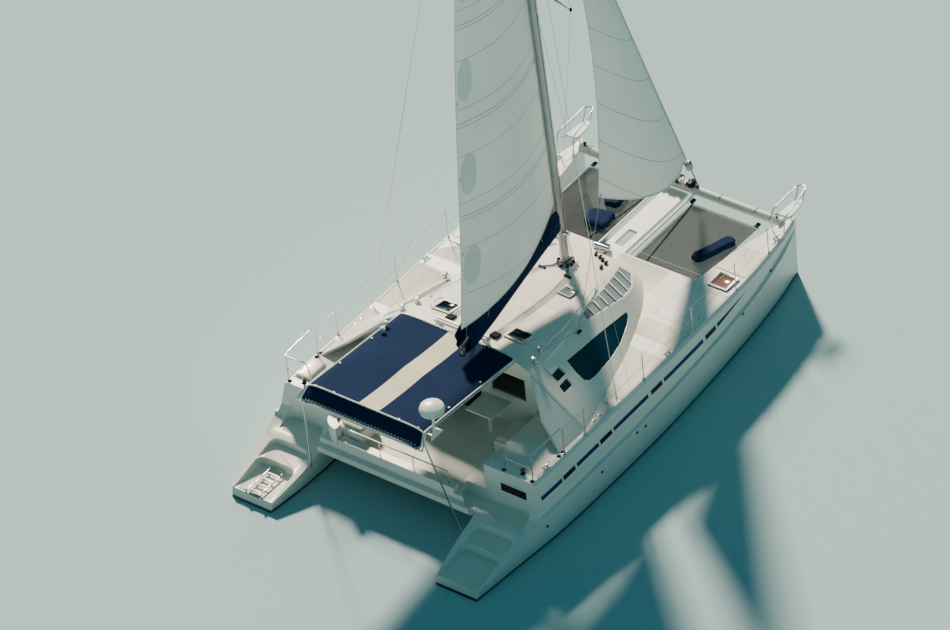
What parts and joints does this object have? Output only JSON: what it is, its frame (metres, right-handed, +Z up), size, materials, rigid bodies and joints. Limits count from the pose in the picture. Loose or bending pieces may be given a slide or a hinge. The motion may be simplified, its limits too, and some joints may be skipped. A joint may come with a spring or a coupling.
{
  "type": "sailing catamaran",
  "caption": "Cruising catamaran with slim hulls, hollow saloon cabin, cockpit under a canopy, nets between the bows, mast, boom and set sails.",
  "frame": {"origin": "amidships on the centreplane, at the waterline the boat floats on", "axes": "+X towards the bows, +Y to port, +Z up along the mast"},
  "size_m": [12.5248, 6.9038, 19.1823],
  "materials": {
    "gelcoat": "gloss white gelcoat",
    "cream_cushion": "cream vinyl cloth",
    "navy_canvas": "navy acrylic canvas",
    "sailcloth": "off-white woven polyester",
    "tinted_glass": "dark tinted",
    "net": "grey knotless mesh",
    "stainless": "polished stainless",
    "spar_alloy": "anodised",
    "antifouling": "matt bottom paint",
    "bronze": "worn propeller bronze"
  },
  "bodies": {
    "boat": {"hull_port": "gelcoat", "hull_starboard": "gelcoat", "keel_port": "antifouling", "keel_starboard": "antifouling", "saildrive_port": "spar_alloy", "saildrive_starboard": "spar_alloy", "cockpit": "gelcoat", "bridgedeck": "gelcoat", "cabin": "gelcoat", "side_window_port": "tinted_glass", "side_window_starboard": "tinted_glass", "quarter_window_port": "tinted_glass", "quarter_window_starboard": "tinted_glass", "windscreen_port": "tinted_glass", "windscreen_starboard": "tinted_glass", "aft_bulkhead_port": "gelcoat", "aft_bulkhead_starboard": "gelcoat", "companionway_header": "gelcoat", "traveller": "gelcoat", "cockpit_bench_port": "cream_cushion", "cockpit_bench_starboard": "cream_cushion", "cockpit_table": "gelcoat", "after_rail": "stainless", "crossbeam": "gelcoat", "catwalk": "gelcoat", "trampoline_port": "net", "trampoline_starboard": "net", "pad_starboard": "navy_canvas", "pad_port_aft": "navy_canvas", "pad_port_fore": "navy_canvas", "pulpit_port": "stainless", "pulpit_starboard": "stainless", "lifelines_port": "stainless", "lifelines_starboard": "stainless", "bimini_frame": "stainless", "bimini_top": "navy_canvas", "radar": "gelcoat", "windlass": "stainless", "mast": "spar_alloy", "forestay": "spar_alloy", "jib": "sailcloth", "shroud_port": "stainless", "shroud_starboard": "stainless"},
    "boom_and_sail": {"boom": "spar_alloy", "sail_cover": "navy_canvas", "mainsail": "sailcloth"},
    "helm_wheel": {"steering_wheel": "stainless"},
    "rudder_blade_port": {"rudder_port": "antifouling"},
    "rudder_blade_starboard": {"rudder_starboard": "antifouling"},
    "screw_port": {"propeller_port": "bronze"},
    "screw_starboard": {"propeller_starboard": "bronze"},
    "door": {"saloon_door": "tinted_glass"},
    "roof_lid_port": {"roof_hatch_port": "tinted_glass"},
    "roof_lid_starboard": {"roof_hatch_starboard": "tinted_glass"},
    "mid_lid": {"mid_hatch": "spar_alloy"},
    "fore_lid_port": {"fore_hatch_port": "spar_alloy"},
    "fore_lid_starboard": {"fore_hatch_starboard": "spar_alloy"},
    "ladder": {"boarding_ladder": "stainless"}
  },
  "joints": [
    {"name": "boom_swing", "type": "hinge", "parent": "boat", "child": "boom_and_sail", "pos_m": [1.38895, 0, 3.40615], "axis": [-0.049, 0, 0.9988], "range_deg": [-46, 27]},
    {"name": "wheel_turn", "type": "hinge", "parent": "boat", "child": "helm_wheel", "pos_m": [-2.32, 1.18, 1.8], "axis": [1, 0, 0], "range_deg": [-540, 540]},
    {"name": "rudder_turn_port", "type": "hinge", "parent": "boat", "child": "rudder_blade_port", "pos_m": [-5.05, 2.64, -0.3], "axis": [0, 0, 1], "range_deg": [-35, 35]},
    {"name": "rudder_turn_starboard", "type": "hinge", "parent": "boat", "child": "rudder_blade_starboard", "pos_m": [-5.05, -2.64, -0.3], "axis": [0, 0, 1], "range_deg": [-35, 35]},
    {"name": "screw_spin_port", "type": "hinge", "parent": "boat", "child": "screw_port", "pos_m": [-3.9, 2.68, -0.85], "axis": [1, 0, 0], "continuous": true},
    {"name": "screw_spin_starboard", "type": "hinge", "parent": "boat", "child": "screw_starboard", "pos_m": [-3.9, -2.68, -0.85], "axis": [1, 0, 0], "continuous": true},
    {"name": "door_slide", "type": "slide", "parent": "boat", "child": "door", "axis": [0, -1, 0], "range_m": [0, 0.9]},
    {"name": "roof_lift_port", "type": "hinge", "parent": "boat", "child": "roof_lid_port", "pos_m": [-1.5019, 0.93322, 2.61964], "axis": [0, -0.9982, 0.06], "range_deg": [0, 70]},
    {"name": "roof_lift_starboard", "type": "hinge", "parent": "boat", "child": "roof_lid_starboard", "pos_m": [-1.5019, -0.93322, 2.61964], "axis": [0, -0.9982, -0.06], "range_deg": [0, 70]},
    {"name": "mid_lift", "type": "hinge", "parent": "boat", "child": "mid_lid", "pos_m": [0.53707, -0.70184, 2.28966], "axis": [0, -0.9991, -0.043], "range_deg": [0, 70]},
    {"name": "fore_lift_port", "type": "hinge", "parent": "boat", "child": "fore_lid_port", "pos_m": [3.112, 2.74, 1.549], "axis": [0, -1, 0], "range_deg": [0, 70]},
    {"name": "fore_lift_starboard", "type": "hinge", "parent": "boat", "child": "fore_lid_starboard", "pos_m": [3.112, -2.74, 1.549], "axis": [0, -1, 0], "range_deg": [0, 70]},
    {"name": "ladder_fold", "type": "hinge", "parent": "boat", "child": "ladder", "pos_m": [-6, 2.62, 0.262], "axis": [0, -1, 0], "range_deg": [0, 225]}
  ],
  "couplings": [
    {"joint": "rudder_turn_port", "follows": "wheel_turn", "ratio": 0.0648},
    {"joint": "rudder_turn_starboard", "follows": "wheel_turn", "ratio": 0.0648}
  ]
}
